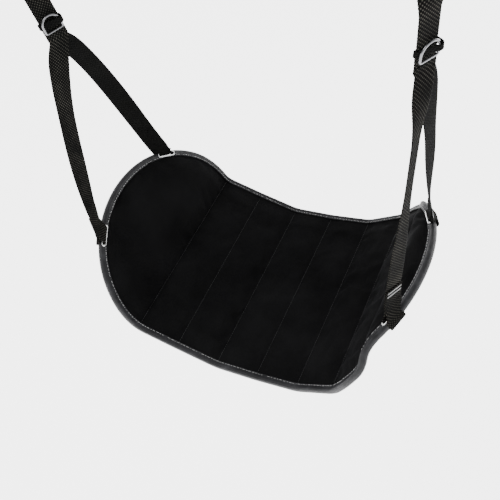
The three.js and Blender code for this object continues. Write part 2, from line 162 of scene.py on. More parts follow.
class Slot:
    """A strap slot's own frame: out away from the panel, up off its face, along the edge."""

    def __init__(self, name):
        self.name = name
        self.side = -1 if "left" in name else 1
        self.end = -1 if "front" in name else 1
        place = radians(SLOT_ANGLES[name])
        s = end_centre(self.side) + self.side * END_ROUNDING * cos(place)
        y = self.end * HALF_DEPTH * sin(place)
        tilt = tilt_at(s)
        out_s, out_y = cos(place) / END_ROUNDING, sin(place) / HALF_DEPTH
        self.out = Vector((self.side * out_s * cos(tilt), self.end * out_y,
                           self.side * out_s * sin(tilt))).normalized()
        self.up = Vector((-sin(tilt), 0, cos(tilt)))
        self.along = self.up.cross(self.out)
        if self.along.y < 0:
            self.along.negate()
        self.origin = on_panel(s, y, 0)

    def at(self, u, h, t=0):
        return self.origin + self.out * u + self.up * h + self.along * t


SLOTS = {name: Slot(name) for name in SLOT_ANGLES}

# ---- meshes ---------------------------------------------------------------------------------


def make_object(name, verts, faces, material, uvs=None, smooth=True):
    mesh = bpy.data.meshes.new(name)
    mesh.from_pydata([tuple(v * MM) for v in verts], [], faces)
    mesh.materials.append(material)
    if uvs is not None:
        layer = mesh.uv_layers.new(name="flat")
        for loop in mesh.loops:
            layer.data[loop.index].uv = uvs[loop.vertex_index]
    work = bmesh.new()
    work.from_mesh(mesh)
    bmesh.ops.recalc_face_normals(work, faces=work.faces)
    work.to_mesh(mesh)
    work.free()
    for polygon in mesh.polygons:
        polygon.use_smooth = smooth
    piece = bpy.data.objects.new(name, mesh)
    bpy.context.scene.collection.objects.link(piece)
    return piece


def loft(name, rows, material, closed=False, uvs=None, smooth=True):
    """A skin through rows of matching section points, capped at both ends unless closed."""
    ring = len(rows[0])
    verts = [point for row in rows for point in row]
    faces = []
    for i in range(len(rows) if closed else len(rows) - 1):
        here, there = i * ring, ((i + 1) % len(rows)) * ring
        for j in range(ring):
            k = (j + 1) % ring
            faces.append((here + j, here + k, there + k, there + j))
    if not closed:
        faces.append(tuple(range(ring))[::-1])
        faces.append(tuple((len(rows) - 1) * ring + j for j in range(ring)))
    return make_object(name, verts, faces, material, uvs, smooth)


def spline(points, count, closed=False):
    """Points evenly parted along a Catmull-Rom curve through the given ones."""
    total = len(points)
    raw = []
    for i in range(total if closed else total - 1):
        if closed:
            a, b, c, d = (points[(i + k) % total] for k in (-1, 0, 1, 2))
        else:
            a, b, c, d = (points[min(max(i + k, 0), total - 1)] for k in (-1, 0, 1, 2))
        for k in range(16):
            t = k / 16
            raw.append(0.5 * ((2 * b) + (c - a) * t + (2 * a - 5 * b + 4 * c - d) * t * t
                              + (3 * b - a - 3 * c + d) * t ** 3))
    raw.append(points[0] if closed else points[-1])
    return even(raw, count)


def even(points, count):
    lengths = [0.0]
    for a, b in zip(points, points[1:]):
        lengths.append(lengths[-1] + (b - a).length)
    out, j = [], 0
    for i in range(count):
        want = lengths[-1] * i / (count - 1)
        while j < len(points) - 2 and lengths[j + 1] < want:
            j += 1
        part = (want - lengths[j]) / max(lengths[j + 1] - lengths[j], 1e-9)
        out.append(points[j].lerp(points[j + 1], min(part, 1)))
    return out


def tube(name, points, radius, material, closed=False, sides=12):
    """A round wire; radius is a number or a function of the part of its length."""
    total = len(points)
    rows = []
    reference = None
    for i, at in enumerate(points):
        if closed:
            run = points[(i + 1) % total] - points[i - 1]
        else:
            run = points[min(i + 1, total - 1)] - points[max(i - 1, 0)]
        run.normalize()
        if reference is None:
            reference = run.orthogonal().normalized()
        reference = square_to(reference, run)
        other = run.cross(reference)
        size = radius(i / total) if callable(radius) else radius
        rows.append([at + (reference * cos(2 * pi * k / sides) + other * sin(2 * pi * k / sides))
                     * size for k in range(sides)])
    if closed:
        # turn the last rows back so that the ends meet without a twist
        first, last = rows[0], rows[-1]
        best = min(range(sides), key=lambda k: (last[k] - first[0]).length)
        if best:
            verts = [point for row in rows for point in row]
            faces = []
            for i in range(total):
                for j in range(sides):
                    k = (j + 1) % sides
                    if i < total - 1:
                        faces.append((i * sides + j, i * sides + k, (i + 1) * sides + k,
                                      (i + 1) * sides + j))
                    else:
                        faces.append((i * sides + (j + best) % sides,
                                      i * sides + (k + best) % sides, k, j))
            return make_object(name, verts, faces, material)
    return loft(name, rows, material, closed)


def cut(piece, cutters):
    """Take cutters away from piece, and delete them."""
    for cutter in cutters:
        modifier = piece.modifiers.new("cut", "BOOLEAN")
        modifier.object = cutter
        modifier.operation = "DIFFERENCE"
        modifier.solver = "EXACT"
    graph = bpy.context.evaluated_depsgraph_get()
    mesh = bpy.data.meshes.new_from_object(piece.evaluated_get(graph))
    piece.modifiers.clear()
    piece.data = mesh
    for cutter in cutters:
        bpy.data.objects.remove(cutter)


# ---- materials ------------------------------------------------------------------------------


class Nodes:
    """Short hand for building one material's node tree."""

    def __init__(self, name, **settings):
        self.material = bpy.data.materials.new(name)
        self.material.use_nodes = True
        self.tree = self.material.node_tree
        self.shader = self.tree.nodes["Principled BSDF"]
        for socket, value in settings.items():
            self.shader.inputs[socket.replace("_", " ")].default_value = value

    def add(self, kind, inputs=(), **settings):
        node = self.tree.nodes.new(kind)
        for name, value in settings.items():
            setattr(node, name, value)
        for socket, value in dict(inputs).items():
            if isinstance(value, bpy.types.NodeSocket):
                self.tree.links.new(value, node.inputs[socket])
            else:
                node.inputs[socket].default_value = value
        return node

    def math(self, operation, a, b=0.0):
        return self.add("ShaderNodeMath", {0: a, 1: b}, operation=operation).outputs[0]

    def noise(self, scale, detail=3.0, vector=None, rough=0.5):
        inputs = {"Scale": scale, "Detail": detail, "Roughness": rough}
        if vector is not None:
            inputs["Vector"] = vector
        return self.add("ShaderNodeTexNoise", inputs).outputs["Fac"]

    def place(self):
        return self.add("ShaderNodeTexCoord").outputs["Object"]

    def ramp(self, fac, *stops):
        node = self.add("ShaderNodeValToRGB", {"Fac": fac})
        elements = node.color_ramp.elements
        while len(elements) < len(stops):
            elements.new(0.5)
        for element, (position, color) in zip(elements, stops):
            element.position = position
            element.color = (*color, 1)
        return node.outputs["Color"]

    def span(self, fac, low, high):
        inputs = {"Value": fac, "To Min": low, "To Max": high}
        return self.add("ShaderNodeMapRange", inputs).outputs[0]

    def put(self, socket, value):
        self.tree.links.new(value, self.shader.inputs[socket])

    def bump(self, height, distance, strength=1.0, normal=None):
        inputs = {"Height": height, "Distance": distance, "Strength": strength}
        if normal is not None:
            inputs["Normal"] = normal
        return self.add("ShaderNodeBump", inputs).outputs["Normal"]


def suede_material():
    """Short dense nap: near black, brushed patches, and a soft sheen at grazing angles."""
    m = Nodes("suede", Roughness=0.95, Sheen_Weight=0.02, Sheen_Roughness=0.35)
    m.shader.inputs["Specular IOR Level"].default_value = 0.04
    m.shader.inputs["Sheen Tint"].default_value = (0.75, 0.77, 0.85, 1)
    place = m.place()
    brushed = m.noise(16, 4, place)
    nap = m.noise(900, 2, place)
    shade = m.math("ADD", m.math("MULTIPLY", brushed, 0.65), m.math("MULTIPLY", nap, 0.35))
    m.put("Base Color", m.ramp(shade, (0.30, (0.0022, 0.0022, 0.0023)),
                               (0.72, (0.0076, 0.0076, 0.0080))))
    m.put("Normal", m.bump(nap, 0.0005, 0.5, m.bump(brushed, 0.002, 0.12)))
    return m.material


def backing_material():
    """Plain diagonal-woven cloth, a little worn."""
    m = Nodes("backing_cloth", Roughness=0.9)
    m.shader.inputs["Specular IOR Level"].default_value = 0.1
    place = m.place()
    threads = m.add("ShaderNodeTexWave", {"Vector": place, "Scale": 420, "Distortion": 1.0,
                                          "Detail": 1.0}, bands_direction="DIAGONAL").outputs["Fac"]
    worn = m.noise(30, 4, place)
    shade = m.math("ADD", m.math("MULTIPLY", threads, 0.5), m.math("MULTIPLY", worn, 0.5))
    m.put("Base Color", m.ramp(shade, (0.2, (0.0025, 0.0025, 0.0028)),
                               (0.8, (0.0075, 0.0075, 0.0082))))
    m.put("Normal", m.bump(threads, 0.0003, 0.6))
    return m.material


def binding_material():
    """Folded grosgrain tape: fine cross ribs, satin, with painted highlights in pale patches and
    painted crease shade in its colour.
    """
    m = Nodes("binding_tape", Roughness=0.42)
    m.shader.inputs["Specular IOR Level"].default_value = 0.2
    flat = m.add("ShaderNodeUVMap", uv_map="flat").outputs["UV"]
    parts = m.add("ShaderNodeSeparateXYZ", {0: flat})
    ribs = m.math("SINE", m.math("MULTIPLY", parts.outputs[1], 2 * pi / 0.0011))
    place = m.place()
    creases = m.noise(140, 3, place)
    painted_highlight_patches = m.noise(36, 3, place)
    # painted highlight and shade: random pale patches and lighter and darker crease marks are put
    # into the tape's colour
    shade = m.math("ADD", m.math("MULTIPLY", painted_highlight_patches, 0.6), m.math("MULTIPLY", creases, 0.4))
    m.put("Base Color", m.ramp(shade, (0.30, (0.004, 0.004, 0.0045)),
                               (0.56, (0.015, 0.015, 0.017)), (0.74, (0.034, 0.034, 0.037))))
    m.put("Roughness", m.span(creases, 0.34, 0.62))
    m.put("Normal", m.bump(ribs, 0.00015, 0.4, m.bump(creases, 0.0012, 0.35)))
    return m.material


def webbing_material(name, coarse):
    """Heavy woven webbing: yarns crossing in a basket, with painted highlights on their crowns."""
    m = Nodes(name, Roughness=0.6)
    m.shader.inputs["Specular IOR Level"].default_value = 0.012
    flat = m.add("ShaderNodeUVMap", uv_map="flat").outputs["UV"]
    parts = m.add("ShaderNodeSeparateXYZ", {0: flat})
    across, along = parts.outputs[0], parts.outputs[1]
    pitch = 0.0019 if coarse else 0.0022
    lean = m.math("MULTIPLY", across, 0.0 if coarse else 0.35)
    wave_u = m.math("SINE", m.math("MULTIPLY", across, pi / (pitch * (1 if coarse else 0.62))))
    wave_v = m.math("SINE", m.math("MULTIPLY", m.math("ADD", along, lean), pi / pitch))
    basket = m.math("MULTIPLY", wave_u, wave_v)
    fibres = m.math("SINE", m.math("MULTIPLY", across, 2 * pi / 0.00028))
    place = m.place()
    grime = m.noise(45, 4, place)
    # painted highlight: the basket's yarn crowns are made paler in the colour, mixed with random
    # grime
    crown = m.math("ADD", m.math("MULTIPLY", basket, 0.36 if coarse else 0.16),
                   m.math("ADD", m.math("MULTIPLY", grime, 0.42), 0.28))
    high = (0.088, 0.083, 0.070) if coarse else (0.024, 0.024, 0.023)
    m.put("Base Color", m.ramp(crown, (0.40, (0.0034, 0.0034, 0.0034)),
                               (0.66, (0.0080, 0.0079, 0.0074)), (0.95, high)))
    m.put("Roughness", m.span(grime, 0.55, 0.8))
    m.put("Normal", m.bump(basket, 0.0005, 0.7, m.bump(fibres, 0.00008, 0.5)))
    return m.material


def metal_material(name, color, low, high):
    """Bright plating with faint draw lines and handling marks."""
    m = Nodes(name, Metallic=1.0)
    place = m.place()
    marks = m.noise(260, 5, place, 0.7)
    haze = m.noise(40, 2, place)
    m.put("Base Color", m.ramp(haze, (0.3, tuple(c * 0.82 for c in color)), (0.7, color)))
    m.put("Roughness", m.span(marks, low, high))
    m.put("Normal", m.bump(marks, 0.00006, 0.4))
    return m.material


def thread_material(name, color):
    """Twisted sewing thread, with painted shade darkening it between its plies."""
    m = Nodes(name, Roughness=0.5)
    place = m.place()
    twist = m.add("ShaderNodeTexWave", {"Vector": place, "Scale": 700, "Distortion": 2.0},
                  bands_direction="DIAGONAL").outputs["Fac"]
    # painted shade: the colour is darker in the grooves between the plies
    m.put("Base Color", m.ramp(twist, (0.1, tuple(c * 0.45 for c in color)), (0.9, color)))
    m.put("Normal", m.bump(twist, 0.0001, 0.6))
    return m.material


SUEDE = suede_material()
BACKING = backing_material()
BINDING = binding_material()
COARSE = webbing_material("webbing_basket", True)
RIBBED = webbing_material("webbing_ribbed", False)
CHROME = metal_material("ring_plating", (0.17, 0.17, 0.178), 0.12, 0.28)
EYELET = metal_material("eyelet_plating", (0.95, 0.95, 0.95), 0.2, 0.4)
THREAD = thread_material("dark_thread", (0.022, 0.022, 0.024))
# painted highlight: this pale thread colour also stands in for the bright highlight line along the
# binding's inner edge
PALE_THREAD_AND_HIGHLIGHT = thread_material("pale_thread_and_highlight", (0.55, 0.55, 0.55))

# ---- camera, light and floor ----------------------------------------------------------------


CAMERA_AZIMUTH, CAMERA_ELEVATION, CAMERA_ROLL = 41.19, 48.77, -20.73
CAMERA_AT = (358.69, -474.94, 252.94)
SENSOR_WIDTH = 36
FOCAL_RATIO = 678.85 / 500
LAMPS = (  # name, place and size in metres, power
    ("key", (-0.9, -0.7, 1.5), 1.3, 34),
    ("fill", (1.6, -1.2, 0.9), 1.6, 5),
    ("back", (0.2, 1.8, 0.7), 1.2, 10),
)
LAMPS_AIM = (0, 0, -0.35)
WORLD_STRENGTH = 0.9
FLOOR_GLOW = 3.8
FLOOR_Z = -1500
FLOOR_SPAN = 60000


def add_stage():
    view = bpy.data.cameras.new("view")
    azimuth, elevation, roll = (radians(a) for a in (CAMERA_AZIMUTH, CAMERA_ELEVATION, CAMERA_ROLL))
    back = Vector((sin(azimuth) * cos(elevation), -cos(azimuth) * cos(elevation), sin(elevation)))
    level = Vector((cos(azimuth), sin(azimuth), 0))
    upright = back.cross(level)
    right = level * cos(roll) + upright * sin(roll)
    up = upright * cos(roll) - level * sin(roll)
    view.sensor_width = SENSOR_WIDTH
    view.lens = FOCAL_RATIO * SENSOR_WIDTH
    camera = bpy.data.objects.new("view", view)
    place = Matrix((right, up, back)).transposed().to_4x4()
    place.translation = Vector(CAMERA_AT) * MM
    camera.matrix_world = place
    bpy.context.scene.collection.objects.link(camera)
    bpy.context.scene.camera = camera

    world = bpy.data.worlds.new("studio")
    world.use_nodes = True
    sky = world.node_tree.nodes["Background"]
    sky.inputs["Color"].default_value = (1, 1, 1, 1)
    sky.inputs["Strength"].default_value = WORLD_STRENGTH
    bpy.context.scene.world = world
    for name, at, size, power in LAMPS:
        lamp = bpy.data.lights.new(name, "AREA")
        lamp.size = size
        lamp.energy = power
        light = bpy.data.objects.new(name, lamp)
        light.location = at
        aim = Vector(LAMPS_AIM) - Vector(at)
        light.rotation_euler = aim.to_track_quat("-Z", "Y").to_euler()
        bpy.context.scene.collection.objects.link(light)

    m = Nodes("pale_floor", Roughness=0.9)
    m.put("Base Color", m.ramp(m.noise(2, 2, m.place()), (0.3, (0.90, 0.90, 0.90)),
                               (0.7, (0.93, 0.93, 0.93))))
    m.shader.inputs["Emission Color"].default_value = (1, 1, 1, 1)
    m.shader.inputs["Emission Strength"].default_value = FLOOR_GLOW
    corners = [Vector((x * FLOOR_SPAN, y * FLOOR_SPAN, FLOOR_Z))
               for x, y in ((-1, -1), (1, -1), (1, 1), (-1, 1))]
    floor = make_object("floor", corners, [(0, 1, 2, 3)], m.material)


add_stage()

# ---- the quilted panel ----------------------------------------------------------------------
EDGE_IN = 2.4
PANEL_COLUMNS = 72
ROW_STEP = 3.6
PUFF_REACH = 26
HELD_RIM = 13
SWELL_FRAMES = 14
SWELL_CAP = 2.2 * MM


def panel_lengths():
    """Lengths of the panel's rows: close together at the seams and round the two ends."""
    lengths = []
    left, right = LEFT_TIP + EDGE_IN, RIGHT_TIP - EDGE_IN
    marks = [left] + SEAMS + [right]
    for a, b in zip(marks, marks[1:]):
        steps = max(int((b - a) / ROW_STEP), 12)
        for i in range(steps):
            lengths.append(a + (b - a) * (0.5 - 0.5 * cos(pi * i / steps)) * 0.55
                           + (b - a) * i / steps * 0.45)
    return lengths + [right]


def puff(s):
    """How full the quilting is: 0 on a seam and at the tips, 1 in mid-channel."""
    marks = [LEFT_TIP] + SEAMS + [RIGHT_TIP]
    for a, b in zip(marks, marks[1:]):
        if a <= s <= b:
            near = min(s - a, b - s)
            reach = min((b - a) / 2, PUFF_REACH)
            t = min(near / reach, 1)
            return 1 - (1 - t) ** 2.4
    return 0


def place_key(place):
    return tuple(round(c * 1e5) for c in place)


def add_panel():
    """The panel at rest, with the places of its points that the cloth step may move."""
    lengths = panel_lengths()
    across = PANEL_COLUMNS
    top, bottom = [], []
    free = set()
    for i, s in enumerate(lengths):
        on_seam = any(abs(s - seam) < 0.5 for seam in SEAMS) or i in (0, len(lengths) - 1)
        half = max(half_depth(s, EDGE_IN), 0.4)
        full = puff(s)
        for j in range(across + 1):
            w = -cos(pi * j / across) * 0.35 + (2 * j / across - 1) * 0.65
            y = w * half
            rim = min(half - abs(y), min(s - LEFT_TIP, RIGHT_TIP - s))
            ease = smoothstep(rim, 4, 34)
            lift = 1.5 + (2.6 + 1.2 * ease) * full * (0.45 + 0.55 * ease)
            wrinkle = noise.noise(Vector((s * 0.05, y * 0.018, 3))) * 0.5
            wrinkle += noise.noise(Vector((s * 0.16, y * 0.045, 9))) * 0.25
            lift += wrinkle * full
            lower = 1.4 + 2.4 * full * (0.5 + 0.5 * ease)
            top.append(on_panel(s, y, lift))
            bottom.append(on_panel(s, y, -lower))
            if not on_seam and rim > HELD_RIM:
                free.update({place_key(top[-1] * MM), place_key(bottom[-1] * MM)})
    columns = across + 1
    verts = top + bottom
    base = len(top)
    faces = []
    for i in range(len(lengths) - 1):
        for j in range(across):
            a, b = i * columns + j, (i + 1) * columns + j
            faces.append((a, b, b + 1, a + 1))
            faces.append((base + a, base + a + 1, base + b + 1, base + b))
        for j in (0, across):
            a, b = i * columns + j, (i + 1) * columns + j
            faces.append((a, base + a, base + b, b) if j == 0 else (a, b, base + b, base + a))
    for i in (0, len(lengths) - 1):
        for j in range(across):
            a = i * columns + j
            faces.append((a, a + 1, base + a + 1, base + a) if i == 0
                         else (a, base + a, base + a + 1, a + 1))
    panel = make_object("quilted_panel", verts, faces, SUEDE)
    panel.data.materials.append(BACKING)
    for polygon in panel.data.polygons:
        if all(v >= base for v in polygon.vertices):
            polygon.material_index = 1
    return panel, free


def inflate(panel, free):
    """Let the cover swell between its seams as cloth, held along every seam and its edge."""
    held = panel.vertex_groups.new(name="held")
    before = [v.co.copy() for v in panel.data.vertices]
    fixed = [i for i, place in enumerate(before) if place_key(place) not in free]
    held.add(fixed, 1.0, "REPLACE")
    cloth = panel.modifiers.new("swell", "CLOTH")
    settings = cloth.settings
    settings.vertex_group_mass = "held"
    settings.quality = 5
    settings.mass = 0.15
    settings.tension_stiffness = 12
    settings.compression_stiffness = 12
    settings.shear_stiffness = 5
    settings.bending_stiffness = 0.4
    settings.shrink_min = -0.03
    settings.use_pressure = True
    settings.uniform_pressure_force = 3.0
    settings.effector_weights.gravity = 0
    cloth.point_cache.frame_start = 1
    cloth.point_cache.frame_end = SWELL_FRAMES
    scene = bpy.context.scene
    for number in range(1, SWELL_FRAMES + 1):
        scene.frame_set(number)
    graph = bpy.context.evaluated_depsgraph_get()
    after = [v.co.copy() for v in panel.evaluated_get(graph).data.vertices]
    panel.modifiers.clear()
    for vertex, old, new in zip(panel.data.vertices, before, after):
        move = new - old
        if move.length > SWELL_CAP:
            move = move.normalized() * SWELL_CAP
        vertex.co = old + move
    scene.frame_set(1)


def slot_cutter(slot, length, width):
    """A round-cornered block through the edge at a slot."""
    corner, reach = 1.5, 14
    outline = []
    for cx, cy, start in ((1, 1, 0), (-1, 1, 90), (-1, -1, 180), (1, -1, 270)):
        for k in range(5):
            angle = radians(start + 22.5 * k)
            outline.append((cx * (length / 2 - corner) + corner * cos(angle),
                            cy * (width / 2 - corner) + corner * sin(angle)))
    rows = [[slot.at(v - SLOT_SETBACK, h, u) for u, v in outline] for h in (-reach, reach)]
    return loft("cutter", rows, SUEDE, smooth=False)


panel, free = add_panel()
cut(panel, [slot_cutter(slot, SLOT_LENGTH + 3, SLOT_WIDTH + 3) for slot in SLOTS.values()])
inflate(panel, free)
for polygon in panel.data.polygons:
    polygon.use_smooth = True
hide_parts("top_cover", "bottom_cover", *[f"foam_pad_{i}" for i in range(1, 9)])
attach(panel, "seat")

# ---- seam stitches --------------------------------------------------------------------------


STITCH_SIDES = 6
STITCH_ROWS = 5


def stitch(at, run, up, length, radius):
    """One thread stitch: a little arched capsule, as rows of section points."""
    side = run.cross(up).normalized()
    rows = []
    for k in range(STITCH_ROWS):
        t = k / (STITCH_ROWS - 1)
        centre = at + run * (t - 0.5) * length + up * (sin(pi * t) * radius * 1.1 - radius * 0.5)
        size = radius * (0.45 + 0.55 * sin(pi * t))
        rows.append([centre + side * cos(2 * pi * j / STITCH_SIDES) * size
                     + up * sin(2 * pi * j / STITCH_SIDES) * size for j in range(STITCH_SIDES)])
    return rows


def stitch_row(name, places, length, radius, material):
    """Many stitches as one mesh. places yields (at, run, up)."""
    verts, faces = [], []
    for at, run, up in places:
        rows = stitch(at, run, up, length, radius)
        start = len(verts)
        verts += [point for row in rows for point in row]
        for i in range(STITCH_ROWS - 1):
            for j in range(STITCH_SIDES):
                k = (j + 1) % STITCH_SIDES
                a, b = start + i * STITCH_SIDES, start + (i + 1) * STITCH_SIDES
                faces.append((a + j, a + k, b + k, b + j))
        last = start + (STITCH_ROWS - 1) * STITCH_SIDES
        faces.append(tuple(start + j for j in range(STITCH_SIDES))[::-1])
        faces.append(tuple(last + j for j in range(STITCH_SIDES)))
    return make_object(name, verts, faces, material)


SEAM_STOP = 9
SEAM_PITCH = 3.2
SEAM_FACE = 1.75


def seam_places(s):
    half = half_depth(s) - SEAM_STOP
    for k in range(int(2 * half / SEAM_PITCH)):
        y = -half + SEAM_PITCH * (k + 0.5)
        up = (on_panel(s, y, 1) - on_panel(s, y, 0)).normalized()
        for face in (1, -1):
            yield on_panel(s, y, face * SEAM_FACE), Vector((0, 1, 0)), up * face


for number, s in enumerate(SEAMS, 1):
    row = stitch_row(f"seam_stitches_{number}", seam_places(s), 2.3, 0.34, THREAD)
    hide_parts(f"seam_thread_{number}")
    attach(row, "seat")

# ---- the edge binding -----------------------------------------------------------------------


def edge_run(count):
    """Points evenly parted round the edge: length s, depth y and outward direction."""
    flat = []
    steps = 160
    left, right = end_centre(-1), end_centre(1)
    for end in (-1, 1):
        side = []
        for k in range(91):
            angle = radians(90 - k)
            side.append((left - END_ROUNDING * sin(angle), HALF_DEPTH * cos(angle)))
        side += [(left + (right - left) * k / steps, HALF_DEPTH) for k in range(1, steps)]
        for k in range(91):
            angle = radians(k)
            side.append((right + END_ROUNDING * sin(angle), HALF_DEPTH * cos(angle)))
        side = [Vector((s, end * y, 0)) for s, y in side]
        flat += side if end < 0 else side[::-1][1:]
    run = even(flat, count + 1)[:-1]
    out = []
    for i, at in enumerate(run):
        along = (run[(i + 1) % count] - run[i - 1]).normalized()
        out.append((at.x, at.y, Vector((along.y, -along.x)), i / count))
    return out


PERIMETER_STEPS = 840
EDGE = edge_run(PERIMETER_STEPS)
EDGE_LENGTH = 1.55  # metres, as the tape's texture needs it
BINDING_PITCH = 3.0
BINDING_ROW_IN = -7.3
BINDING_ROW_LIFT = 4.55


def safe_panel(s, y, h):
    return on_panel(min(max(s, LEFT_TIP - 4), RIGHT_TIP + 4), y, h)


def tape_rise(s, y, u):
    """How far the tape's puckers stand off it."""
    spot = Vector((s * 0.11, y * 0.11, 0))
    pucker = noise.noise(spot) * 0.45 + noise.noise(spot * 2.7) * 0.28
    return pucker * min(abs(u), 5) / 5 + noise.noise(spot * 6.1) * 0.12


def add_binding():
    outer = [(-9.2, 3.75), (-8.9, 4.25), (-7.2, 4.45), (-6.4, 4.1), (-5.2, 4.5), (-3.2, 4.75),
             (-1.4, 4.4), (-0.2, 3.0), (0.25, 1.2), (0.3, 0)]
    inner = [(-0.9, 0), (-1.2, 2.4), (-3, 3.4), (-6, 3.5)]
    section = outer + [(u, -h) for u, h in reversed(outer[:-1])]
    section += [(u, -h) for u, h in reversed(inner[1:])] + inner
    rows, uvs = [], []
    for s, y, out, part in EDGE:
        spot = Vector((s * 0.187, y * 0.187, 7))
        row = []
        for k, (u, h) in enumerate(section):
            shown = k < len(outer) * 2 - 1
            grow = tape_rise(s, y, u) if shown else 0
            slide = noise.noise(spot) * 0.5 if shown and u < -6 else 0
            reach = u + slide
            row.append(safe_panel(s + reach * out.x, y + reach * out.y,
                                  h + math.copysign(grow, h) if h else 0))
            uvs.append((u * MM, part * EDGE_LENGTH))
        rows.append(row)
    return loft("edge_binding_tape", rows, BINDING, closed=True, uvs=uvs)


binding = add_binding()
cut(binding, [slot_cutter(slot, SLOT_LENGTH + 2, SLOT_WIDTH + 2) for slot in SLOTS.values()])
for polygon in binding.data.polygons:
    polygon.use_smooth = True
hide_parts("edge_binding")
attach(binding, "seat")


def near_slot(at):
    for slot in SLOTS.values():
        offset = at - slot.origin
        if abs(offset.dot(slot.along)) < SLOT_LENGTH / 2 + 3 and abs(offset.dot(slot.out)) < 14:
            return True
    return False


def binding_places():
    count = int(EDGE_LENGTH / MM / BINDING_PITCH)
    for k in range(count):
        index = k / count * PERIMETER_STEPS
        i = int(index)
        s, y, out, _ = EDGE[i]
        s2, y2, _, _ = EDGE[(i + 1) % PERIMETER_STEPS]
        reach = BINDING_ROW_IN
        here = safe_panel(s + reach * out.x, y + reach * out.y, 0)
        there = safe_panel(s2 + reach * out.x, y2 + reach * out.y, 0)
        if near_slot(here):
            continue
        run = (there - here).normalized()
        for face in (1, -1):
            lift = (BINDING_ROW_LIFT + tape_rise(s, y, reach)) * face
            at = safe_panel(s + reach * out.x, y + reach * out.y, lift)
            yield at, run, (at - here).normalized()


# painted highlight: the pale binding stitches make the highlight line along the tape's inner edge
row = stitch_row("binding_stitches", binding_places(), 2.1, 0.3, PALE_THREAD_AND_HIGHLIGHT)
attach(row, "seat")

# ---- eyelets --------------------------------------------------------------------------------


def add_eyelet(slot):
    """A pressed metal grommet: a rolled rim on each face and a sleeve through the edge."""
    half = [(0.05, 0), (0.05, 4.6), (0.2, 5.25), (0.65, 5.55), (1.2, 5.55), (1.65, 5.25),
            (1.75, 4.95), (1.5, 4.82), (1.0, 4.8), (0.95, 0)]
    section = half + [(d, -h) for d, h in reversed(half[1:-1])]
    corner = 1.4
    rows = []
    outline = []
    for cx, cy, start in ((1, 1, 0), (-1, 1, 90), (-1, -1, 180), (1, -1, 270)):
        centre = (cx * (SLOT_LENGTH / 2 - corner), cy * (SLOT_WIDTH / 2 - corner))
        for k in range(9):
            angle = radians(start + 11.25 * k)
            outline.append((centre, (cos(angle), sin(angle))))
    for (cu, cv), (du, dv) in outline:
        rows.append([slot.at(-SLOT_SETBACK + cv + dv * (corner + d), h, cu + du * (corner + d))
                     for d, h in section])
    return loft(f"{slot.name}_grommet", rows, EYELET, closed=True)


for slot in SLOTS.values():
    grommet = add_eyelet(slot)
    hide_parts(f"{slot.name}_eyelet")
    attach(grommet, "seat")

# ---- webbing --------------------------------------------------------------------------------
FACE_POINTS = 23
STEP = 0.8


def weave(u, v, coarse):
    """How high the yarns stand at a place on a strip."""
    if coarse:
        return sin(pi * u / 1.9) * sin(pi * v / 1.9)
    return 0.7 * sin(2 * pi * (v + 0.35 * u) / 2.9) + 0.3 * sin(pi * u / 1.4)


def add_webbing(name, stations, material, coarse, width=WEBBING, thick=WEBBING_THICK, step=STEP,
                closed=False, face_points=FACE_POINTS):
    """Woven strip through (at, across) stations: yarn crowns on both faces, scalloped edges."""
    lengths = [0.0]
    for (a, _), (b, _) in zip(stations, stations[1:]):
        lengths.append(lengths[-1] + (b - a).length)
    count = max(int(lengths[-1] / step), 2)
    rows, uvs, j = [], [], 0
    path = []
    for i in range(count + 1):
        want = lengths[-1] * i / count
        while j < len(stations) - 2 and lengths[j + 1] < want:
            j += 1
        part = (want - lengths[j]) / max(lengths[j + 1] - lengths[j], 1e-9)
        (pa, ca), (pb, cb) = stations[j], stations[j + 1]
        path.append((pa.lerp(pb, part), ca.lerp(cb, part), want))
    if closed:
        path = path[:-1]
    for i, (at, across, v) in enumerate(path):
        if closed:
            run = path[(i + 1) % len(path)][0] - path[i - 1][0]
        else:
            run = path[min(i + 1, len(path) - 1)][0] - path[max(i - 1, 0)][0]
        across = across.normalized()
        face = run.cross(across).normalized()
        scallop = 0.22 * sin(2 * pi * v / 2.9)
        row = []
        for side in (1, -1):
            for k in range(face_points):
                w = 1 - 2 * k / (face_points - 1)
                u = side * w * (width / 2 + scallop * abs(w) ** 6)
                crown = 0.16 * weave(u, v, coarse) * (1 - abs(w) ** 8)
                round_off = (1 - abs(w) ** 10) * 0.35 + 0.65 * (1 - abs(w) ** 24)
                h = side * (thick / 2 * max(round_off, 0.3) + crown - 0.08)
                row.append(at + across * u + face * h)
                uvs.append((u * MM, v * MM))
        rows.append(row)
    return loft(name, rows, material, closed=closed, uvs=uvs)


WEB_ACROSS = Vector((cos(radians(WEB_TURN)), sin(radians(WEB_TURN)), 0))
WEB_FRONT = Vector((sin(radians(WEB_TURN)), -cos(radians(WEB_TURN)), 0))


